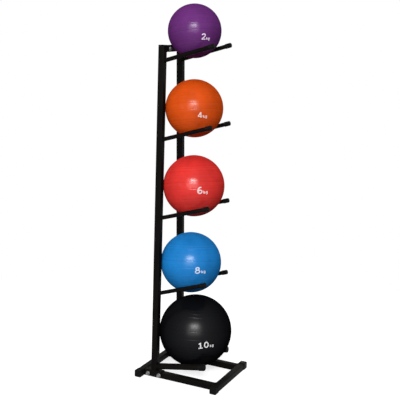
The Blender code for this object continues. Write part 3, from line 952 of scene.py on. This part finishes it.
for name, side in SIDES.items():
    for tier in TIERS:
        root = arm_run(tier, side).ring(circle(arm_radius(tier)), Y * (UPRIGHT_FRONT_Y - FIT / 2), Y)
        add_bead("weld_arm_" + tier + "_" + name, root, -Y)
    foot = upright_run(side).ring(square(TUBE, TUBE_CORNER), Z * (UPRIGHT_FOOT_Z - FIT / 2), Z)
    add_bead("weld_foot_" + name, foot, Z)
    for place, end in ENDS.items():
        run = Run((side * SIDE_X, 0, BASE_Z), end * Y, X)
        joint = run.ring(square(TUBE, TUBE_CORNER), Y * end * (side_half + FIT / 2), Y)
        add_bead("weld_base_" + place + "_" + name, joint, -end * Y)
print("weld beads: 16")

# %% [markdown]
# ## Ball rubber
#
# The balls are moulded in thick rubber with a fine leather-like grain. The grain is pressed deeper
# between the rings than on them, and the smooth belt round the middle has hardly any. The mould also
# leaves very fine ribs that run round the ball and draw its highlight out into streaks. A shader
# can't easily tell where a tilted ball's rings are. So the belt, the rings and the height along the
# moulding axis are stored on each ball's points as it is made, and the finish reads them from there.
# The gloss is a clear coat that fades where the rubber turns away. The rings' grooves are painted
# darker, as painted shade.

# %% Ball finishes
# Each ball's material slot, its colour, its gloss and how soft the gloss is.
BALL_COLOURS = {
    "2kg": ("ball_purple", colour(0.140, 0.027, 0.182), 0.34, 0.21),
    "4kg": ("ball_orange", colour(0.720, 0.082, 0.005), 0.37, 0.22),
    "6kg": ("ball_red", colour(0.780, 0.035, 0.029), 0.49, 0.20),
    "8kg": ("ball_blue", colour(0.013, 0.226, 0.630), 0.41, 0.24),
    "10kg": ("ball_black", colour(0.0042, 0.0044, 0.0056), 0.30, 0.27),
}
SHEEN_FADE = 4.0
HAZE = 0.055
RIB_WAVES = 210.0
RIB_DEPTH = 0.22
GRAIN_HEIGHT = 0.00045


def ball_rubber(slot, base, sheen, softness):
    """Coat weight: sheen (1 - facing)^SHEEN_FADE. Haze on the ribs grows as the root of the colour."""
    name = slot.replace("_", " ") + " rubber"
    finish = Finish(name, Specular_IOR_Level=0.0, Coat_Roughness=softness)
    facing = finish.node("ShaderNodeLayerWeight", {"Blend": 0.5}, "Facing")
    finish.wear("Coat Weight", (1 - facing) ** SHEEN_FADE * sheen)
    dark = darker(base)
    haze = HAZE * math.sqrt(max(base[:3]))
    pale = colour(*(value + haze * (1 - value) for value in base[:3]))
    grain = finish.cells(520)
    skin = finish.noise(1100, detail=2.0)
    clouds = finish.noise(16, detail=4.0)
    handling = finish.noise(75, detail=4.0).band(0.60, 0.76)
    climb = {"W": finish.attribute("height") * RIB_WAVES, "Scale": 1.0, "Detail": 3.0}
    ribs = finish.node("ShaderNodeTexNoise", climb, noise_dimensions="1D")
    rough_zone = finish.attribute("grain")
    groove = finish.attribute("groove")
    tone = finish.mixed(clouds.band() * 0.62, base, dark)
    tone = finish.mixed(handling * 0.18 + ribs.band(0.48, 0.74) * 0.26, tone, pale)
    # Painted shade: the base colour is darker in the ring grooves.
    finish.wear("Base Color", finish.mixed(groove * 0.55, tone, dark))
    finish.wear("Roughness", 0.38 + rough_zone * 0.08 + clouds * 0.08 + handling * 0.07 + groove * 0.1)
    finish.bumps(grain * (0.10 + rough_zone * 0.45) + skin * 0.20 + ribs * RIB_DEPTH, GRAIN_HEIGHT, 0.55)
    return finish.material


ball_finishes = {tier: ball_rubber(*BALL_COLOURS[tier]) for tier in TIERS}
print("ball finishes:", ", ".join(row[0] for row in BALL_COLOURS.values()))

# %% [markdown]
# ## The balls
#
# A ball is one function of latitude and longitude about its moulding axis. Its radius drops in narrow
# rings and in a small dished seat round the air valve. The grid isn't even: rows crowd together at each
# ring and at the valve, where the shape changes fast, and stay wide apart where it is plain.

# %% A ball's sphere, axes and rows
GIVE_WAY = 0.7
MERGE = 0.3


def ball_sphere(tier):
    """The ball's centre and radius, from its CAD node's box. Its back is flat at the valve."""
    low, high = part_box("ball_" + tier)
    radius = (high.x - low.x) / 2
    return np.array((0.0, low.y + radius, (low.z + high.z) / 2)), radius


def crowded(plain, places, reach, count):
    """Sorted stations: count within reach of each special place, and the plain ones that are at least
    GIVE_WAY spacings from those. Stations less than MERGE spacings apart become one."""
    extra = (np.asarray(places)[:, None] + np.linspace(-reach, reach, count)).ravel()
    spacing = 2 * reach / (count - 1)
    far = np.abs(plain[:, None] - extra).min(axis=1) > spacing * GIVE_WAY
    merged = np.unique(np.concatenate((plain[far], extra)))
    return merged[np.append(True, np.diff(merged) > spacing * MERGE)]


def ball_axes(lean):
    """The moulding axis, which stands up in the picture but for a lean, and two axes round it. The
    second points away from the camera."""
    axis = unit(math.cos(lean) * camera_up - math.sin(lean) * camera_right)
    away = unit(-camera_back + axis * np.dot(camera_back, axis))
    return np.cross(away, axis), away, axis


# %% Ball surfaces
BELT = (-7.0, 5.5)
RING_LATITUDES = (-66.0, -38.0, -32.5, -27.0, -7.0, 5.5, 27.0, 32.5, 38.0, 66.0)
RING_WIDTH = 0.0008
RING_DEPTH = 0.00035
RING_REACH = 2.4 * RING_WIDTH
RING_ROWS = 9
ROW_COUNT = 90
COLUMN_COUNT = 180
VALVE_RADIUS = 0.004
SEAT_RADIUS = 0.0075
SEAT_DEPTH = 0.0011
SEAT_REACH = 1.1 * SEAT_RADIUS
SEAT_ROWS = 19
GRAIN_FADE = 0.002


def ring_groove(latitude, radius):
    """1 in a ring's middle, 0 away from it: the sum over the rings of exp(-((v - ring) R / width)^2)."""
    rings = np.radians(RING_LATITUDES)
    return np.exp(-((latitude[:, None] - rings) * radius / RING_WIDTH) ** 2).sum(axis=1)


def ball_points(centre, radius, axes):
    """P(u, v) = centre + r (cos v cos u a + cos v sin u b + sin v axis), with
    r = R - depth groove(v) - seat depth smoothstep(distance to the valve)."""
    first, second, axis = axes
    valve_v = math.asin(axis @ Y)
    valve_u = math.atan2(second @ Y, first @ Y) % (2 * math.pi)
    rows = np.linspace(-math.pi / 2, math.pi / 2, ROW_COUNT)
    rows = crowded(rows, np.radians(RING_LATITUDES), RING_REACH / radius, RING_ROWS)
    rows = crowded(rows, [valve_v], SEAT_REACH / radius, SEAT_ROWS)
    columns = np.linspace(0, 2 * math.pi, COLUMN_COUNT, endpoint=False)
    columns = crowded(columns, [valve_u], SEAT_REACH / radius / math.cos(valve_v), SEAT_ROWS)
    v, u = rows[:, None, None], columns[None, :, None]
    outwards = np.cos(v) * np.cos(u) * first + np.cos(v) * np.sin(u) * second + np.sin(v) * axis
    from_valve = np.linalg.norm(outwards - Y, axis=-1) * radius
    seat = np.clip((SEAT_RADIUS - from_valve) / (SEAT_RADIUS - VALVE_RADIUS), 0, 1)
    groove = ring_groove(rows, radius)[:, None]
    height = radius - RING_DEPTH * groove - SEAT_DEPTH * seat ** 2 * (3 - 2 * seat)
    return centre + height[..., None] * outwards


def store_zones(piece, centre, radius, axis):
    """Keep three values on the points: groove, 1 in a ring's middle, grain, 0 on the belt, and height,
    the distance from the ball's middle along its surface."""
    places = np.zeros(len(piece.data.vertices) * 3)
    piece.data.vertices.foreach_get("co", places)
    places = places.reshape(-1, 3) - centre
    latitude = np.arcsin(np.clip(places @ axis / np.linalg.norm(places, axis=1), -1, 1))
    low, high = np.radians(BELT)
    off_belt = np.maximum(low - latitude, latitude - high)
    zones = {"groove": ring_groove(latitude, radius), "grain": np.clip(off_belt * radius / GRAIN_FADE, 0, 1),
             "height": latitude * radius}
    for key, values in zones.items():
        piece.data.attributes.new(key, "FLOAT", "POINT").data.foreach_set("value", values)


# %% Make the balls
BALL_CRISP = math.radians(60)
BALL_LEANS = {"2kg": 4.0, "4kg": 2.0, "6kg": 2.5, "8kg": -1.0, "10kg": -4.5}

for tier in TIERS:
    node = "ball_" + tier
    centre, radius = ball_sphere(tier)
    axes = ball_axes(math.radians(BALL_LEANS[tier]))
    points = ball_points(centre, radius, axes)
    piece = stand_in(node, points, ball_finishes[tier], "loose_" + node, crisp=BALL_CRISP)
    store_zones(piece, centre, radius, axes[2])
    print(node, "faces:", len(piece.data.polygons), "radius:", round(radius, 4))

# %% [markdown]
# ## Air valves
#
# Each ball is blown up through a plug of soft black rubber at its back. The plug has a rounded rim
# and a hole for the needle, and it stands in the dished seat. It is round throughout, so one profile
# turned about its axis makes all of it.

# %% Valves
NEEDLE_RADIUS = 0.001
VALVE_SIDES = 32
# Pairs of (radius, distance from the mouth): the tapered foot, the side, the rim and the needle hole.
VALVE_PROFILE = ((0.0, -0.012), (NEEDLE_RADIUS, -0.012), (VALVE_RADIUS, -0.010), (VALVE_RADIUS, -0.0006),
                 (0.0038, -0.0002), (0.0033, 0.0), (0.0022, -0.0001), (0.0013, -0.0004),
                 (NEEDLE_RADIUS, -0.0010), (NEEDLE_RADIUS, -0.006), (0.0, -0.0065))

for tier in TIERS:
    centre, radius = ball_sphere(tier)
    mouth = math.sqrt(radius ** 2 - (VALVE_RADIUS + FIT) ** 2)
    points = Run(centre + mouth * Y, Y, X).turned(VALVE_PROFILE, VALVE_SIDES)
    stand_in("ball_valve_" + tier, points, vinyl, "loose_ball_" + tier)
print("valves:", len(TIERS))

# %% [markdown]
# ## Printed weights
#
# Each ball carries its weight in thick white ink. A text object could be wrapped round it, but its
# large flat faces don't bend well. Here a figure is a few strokes of an even width with round ends, as
# a lettering pen draws them: a smooth curve through a handful of points. Each stroke is worked out
# flat and then wrapped round the ball like a strip of tape. A photograph's pixel and the ball's sphere
# together say where the mark's lower left corner goes.

# %% The figures' strokes
# The strokes of each figure and letter, as points in figure heights.
STROKES = {
    "0": [((0.38, 0.91), (0.58, 0.79), (0.66, 0.50), (0.58, 0.21), (0.38, 0.09), (0.18, 0.21), (0.10, 0.50),
           (0.18, 0.79), (0.38, 0.91))],
    "1": [((0.11, 0.71), (0.27, 0.79), (0.41, 0.95)), ((0.41, 0.98), (0.41, 0.04)),
          ((0.05, 0.09), (0.76, 0.09))],
    "2": [((0.08, 0.68), (0.19, 0.85), (0.37, 0.91), (0.56, 0.84), (0.61, 0.67), (0.51, 0.49), (0.32, 0.30),
           (0.10, 0.08)), ((0.05, 0.09), (0.72, 0.09))],
    "4": [((0.55, 0.96), (0.06, 0.27)), ((0.00, 0.28), (0.78, 0.28)), ((0.55, 1.00), (0.55, 0.00))],
    "6": [((0.64, 0.86), (0.52, 0.91), (0.36, 0.88), (0.20, 0.72), (0.11, 0.46), (0.13, 0.24), (0.25, 0.12),
           (0.40, 0.09), (0.59, 0.16), (0.66, 0.31), (0.59, 0.47), (0.40, 0.54), (0.22, 0.46), (0.13, 0.34))],
    "8": [((0.43, 0.91), (0.61, 0.85), (0.66, 0.72), (0.59, 0.60), (0.43, 0.54), (0.27, 0.60), (0.20, 0.72),
           (0.25, 0.85), (0.43, 0.91)),
          ((0.43, 0.54), (0.65, 0.46), (0.74, 0.31), (0.65, 0.15), (0.43, 0.09), (0.21, 0.15), (0.12, 0.31),
           (0.21, 0.46), (0.43, 0.54))],
    "k": [((0.12, 1.02), (0.12, -0.02)), ((0.12, 0.28), (0.56, 0.70)), ((0.28, 0.46), (0.62, -0.02))],
    "g": [((0.34, 0.62), (0.50, 0.54), (0.56, 0.35), (0.50, 0.15), (0.34, 0.07), (0.18, 0.15), (0.11, 0.35),
           (0.18, 0.54), (0.34, 0.62)),
          ((0.58, 0.72), (0.58, 0.20), (0.57, -0.06), (0.45, -0.23), (0.28, -0.26), (0.11, -0.20))],
}
print("figures with strokes:", " ".join(STROKES))

# %% From strokes to ink
CURVE_STEPS = 8
STROKE_STEP = 0.02
INK_SIDES = 12
INK_SQUARENESS = 0.4


def smooth(points):
    """A smooth curve through every point: p1 + s (p2 - p0) / 2 + s^2 (2 p0 - 5 p1 + 4 p2 - p3) / 2
    + s^3 (3 p1 - p0 - 3 p2 + p3) / 2, for s from 0 to 1 between each p1 and p2."""
    points = np.array(points, float)
    if np.array_equal(points[0], points[-1]):
        padded = np.vstack((points[-2], points, points[1]))
    else:
        padded = np.vstack((2 * points[0] - points[1], points, 2 * points[-1] - points[-2]))
    p0, p1, p2, p3 = (padded[k:len(padded) - 3 + k, None, :] for k in range(4))
    s = np.linspace(0, 1, CURVE_STEPS, endpoint=False)[:, None]
    curve = (p1 + s * (p2 - p0) / 2 + s ** 2 * (2 * p0 - 5 * p1 + 4 * p2 - p3) / 2
             + s ** 3 * (3 * p1 - p0 - 3 * p2 + p3) / 2)
    return np.vstack((curve.reshape(-1, 2), points[-1:]))


def stroke_grid(points, width):
    """P(s, t) = path(s) + f w/2 cos t across, at layer (1 + f sign(sin t) |sin t|^squareness) / 2. The
    layer runs from 0, the ink's foot, to 1, its top. At round ends f = sqrt(1 - (1 - d / (w/2))^2), for
    a distance d to the end. Returns the grid and whether it closes on itself."""
    path = smooth(points)
    closed = points[0] == points[-1]
    length = lengths_along(path)[-1]
    stations = np.linspace(0, length, int(length / STROKE_STEP))
    path = points_at(path, stations)
    if closed:
        path = path[:-1]
        full = np.ones(len(path))
        along = loop_direction(path)
    else:
        along = np.gradient(path, axis=0)
        to_end = np.minimum(stations, length - stations)
        full = np.sqrt(1 - np.clip(1 - to_end / (width / 2), 0, 1) ** 2)
    across = np.stack((-along[:, 1], along[:, 0]), axis=-1) / np.linalg.norm(along, axis=1)[:, None]
    turn = turns(INK_SIDES)
    places = path[:, None, :] + (full[:, None] * width / 2 * np.cos(turn))[..., None] * across[:, None, :]
    layer = (1 + full[:, None] * np.sign(np.sin(turn)) * np.abs(np.sin(turn)) ** INK_SQUARENESS) / 2
    return np.concatenate((places, layer[..., None]), axis=-1), closed


def letter_grids(text, height, width, gap, left):
    """The strokes of a text, scaled to a height, side by side from left. Returns them and the right edge."""
    grids = []
    for letter in text:
        made = [stroke_grid(points, width) for points in STROKES[letter]]
        reach = max(grid[..., 0].max() for grid, _ in made)
        for grid, closed in made:
            grids.append((grid * (height, height, 1) + (left, 0, 0), closed))
        left += (reach + gap) * height
    return grids, left


# %% Weight marks
INK_TOP = 0.00012
INK_FOOT = -0.0004
STROKE_WIDTH = 0.185
UNIT_STROKE_WIDTH = 0.26
UNIT_GAP = 0.11
# Each mark's figures, their height, the unit's height, the gap after a figure in figure heights, the
# pixel of the lower left corner, and the climb in degrees.
MARKS = {
    "2kg": ("2", 0.0238, 0.0100, 0.11, (201.1, 39.7), 1.0),
    "4kg": ("4", 0.0227, 0.0112, 0.11, (197.6, 118.0), 1.0),
    "6kg": ("6", 0.0280, 0.0118, 0.11, (197.2, 194.3), 3.0),
    "8kg": ("8", 0.0276, 0.0120, 0.12, (194.7, 274.1), 3.0),
    "10kg": ("10", 0.0264, 0.0108, 0.15, (198.0, 349.0), 3.4),
}


def where_seen(pixel, centre, radius):
    """The unit vector from a ball's centre to the nearest point of its sphere on a pixel's ray:
    |camera + d ray - centre| = radius, solved for the smaller d."""
    offset = (np.array(pixel) - PHOTO_PIXELS / 2) / FOCAL_PIXELS
    ray = unit(-camera_back + offset[0] * camera_right - offset[1] * camera_up)
    to_camera = CAMERA_PLACE - centre
    half = ray @ to_camera
    distance = -half - math.sqrt(half ** 2 - to_camera @ to_camera + radius ** 2)
    return unit(to_camera + distance * ray)


def add_mark(name, tier):
    """P = centre + (R + h) (cos(y/R) (cos(x/R) n + sin(x/R) right) + sin(y/R) up), for a flat point
    x, y at a height h. In the picture, right climbs by the mark's slope."""
    figures, height, unit_height, gap, pixel, slope = MARKS[tier]
    centre, radius = ball_sphere(tier)
    grids, right_edge = letter_grids(figures, height, STROKE_WIDTH, gap, 0.0)
    grids += letter_grids("kg", unit_height, UNIT_STROKE_WIDTH, UNIT_GAP, right_edge)[0]
    normal = where_seen(pixel, centre, radius)
    slope = math.radians(slope)
    right = math.cos(slope) * camera_right + math.sin(slope) * camera_up
    right = unit(right - camera_back * (right @ normal) / (camera_back @ normal))
    up = np.cross(normal, right)
    wrapped = []
    for grid, closed in grids:
        x, y, layer = (grid[..., k, None] for k in range(3))
        outwards = (np.cos(y / radius) * (np.cos(x / radius) * normal + np.sin(x / radius) * right)
                    + np.sin(y / radius) * up)
        reach = radius + INK_FOOT + (INK_TOP - INK_FOOT) * layer
        wrapped.append((centre + reach * outwards, closed))
    return add_grids(name, wrapped)


for tier in TIERS:
    piece = add_mark("weight_mark_" + tier, tier)
    dress(piece, white_print("white print " + tier, BALL_COLOURS[tier][1]), "loose_ball_" + tier)
    print(piece.name, "faces:", len(piece.data.polygons))

# %% [markdown]
# ## Floor, daylight and lamps
#
# The background is plain white. A white world would also flood the rack with light. So the floor and
# the sky look white to the camera and in reflections, but light the object only gently. The floor
# keeps a soft shadow. The main lamp stands far behind and above the camera, and its reflection is the
# bright core on each ball. A larger, dimmer panel that shows only in reflections makes the soft glow
# round that core. Weaker lamps on the left, on the right, overhead and behind keep the other sides
# readable.

# %% Floor and sky
FLOOR_HALF = 30.0
FLOOR_NEAR = 0.9
FLOOR_FAR = 1.6
FLOOR_BOUNCE = 0.14
FLOOR_WHITE = 0.60
FLOOR_GLOW = 0.72
SKY_LIGHT = 0.13


def grey(level):
    """A plain grey."""
    return colour(level, level, level)


def seen_directly(finish):
    """1 for rays from the camera and for reflected or transmitted ones, 0 for the rest."""
    rays = [finish.node("ShaderNodeLightPath", output=output)
            for output in ("Is Camera Ray", "Is Glossy Ray", "Is Transmission Ray")]
    return rays[0].or_larger(rays[1].or_larger(rays[2]))


class Sky(Finish):
    """The world's own node tree, worked with in the same way."""

    def __init__(self):
        self.world = bpy.data.worlds.new("sky")
        self.world.use_nodes = True
        self.tree = self.world.node_tree
        self.shader = self.tree.nodes["Background"]


floor_mesh = bpy.data.meshes.new("floor")
floor_corners = [(a * FLOOR_HALF, b * FLOOR_HALF, 0) for a, b in ((-1, -1), (1, -1), (1, 1), (-1, 1))]
floor_mesh.from_pydata(floor_corners, [], [(0, 1, 2, 3)])
floor = add_object("floor", floor_mesh)

paper = Finish("white paper floor", Roughness=0.9, Specular_IOR_Level=0.0, Emission_Strength=1.0)
seen = seen_directly(paper)
from_rack = paper.node("ShaderNodeVectorMath", {0: paper.places}, "Value", operation="LENGTH")
far = from_rack.band(FLOOR_NEAR, FLOOR_FAR)
white = paper.mixed(far, grey(FLOOR_WHITE), grey(0.0))
glow = paper.mixed(far, grey(FLOOR_GLOW), grey(1.0))
paper.wear("Base Color", paper.mixed(seen, grey(FLOOR_BOUNCE), white))
paper.wear("Emission Color", paper.mixed(seen, grey(0.0), glow))
paint(floor, paper.material)

sky = Sky()
sky.wear("Color", grey(1.0))
sky.wear("Strength", SKY_LIGHT + (1 - SKY_LIGHT) * seen_directly(sky))
bpy.context.scene.world = sky.world
print("sky light", SKY_LIGHT)

# %% Lamps
LOOK_AT = np.array((0.0, 0.0, 0.75))
# What a lamp does, as a pair: whether it shows in reflections, and whether it lights dull surfaces.
LIGHT = (False, True)
REFLECTION = (True, False)
BOTH = (True, True)
# Yaw from the camera and pitch in degrees, distance, width and height in metres, and power in watts.
LAMPS = {
    "lamp over the camera": (-3.4, 29.5, 8.0, 3.0, 1.6, 490, BOTH),
    "glow on the rubber": (-5, 18.5, 8.0, 6.0, 5.0, 430, REFLECTION),
    "lamp on the left": (-50, 12, 5.0, 1.8, 1.4, 56, LIGHT),
    "lamp on the right": (68, 24, 3.2, 0.5, 0.9, 2.5, LIGHT),
    "lamp overhead": (20, 78, 3.4, 1.6, 1.6, 15, LIGHT),
    "lamp behind": (-160, 14, 6.0, 3.0, 2.4, 190, LIGHT),
    "lamp behind on the right": (136, 15, 5.0, 2.4, 2.0, 60, LIGHT),
}


def add_lamp(name, yaw, pitch, distance, width, height, power, shows):
    """A rectangular soft lamp at an angle from the camera's own yaw and above the floor, facing the rack."""
    lamp = add_object(name, bpy.data.lights.new(name, "AREA"))
    lamp.data.shape = "RECTANGLE"
    lamp.data.size = width
    lamp.data.size_y = height
    lamp.data.energy = power
    back = direction(CAMERA_YAW + math.radians(yaw), math.radians(pitch))
    right = unit(np.cross(Z, back))
    aim(lamp, right, np.cross(back, right), back, LOOK_AT + distance * back)
    lamp.visible_camera = False
    lamp.visible_glossy, lamp.visible_diffuse = shows


for name, row in LAMPS.items():
    add_lamp(name, *row)
bpy.context.scene.view_settings.view_transform = "Standard"
print("lamps:", len(LAMPS))
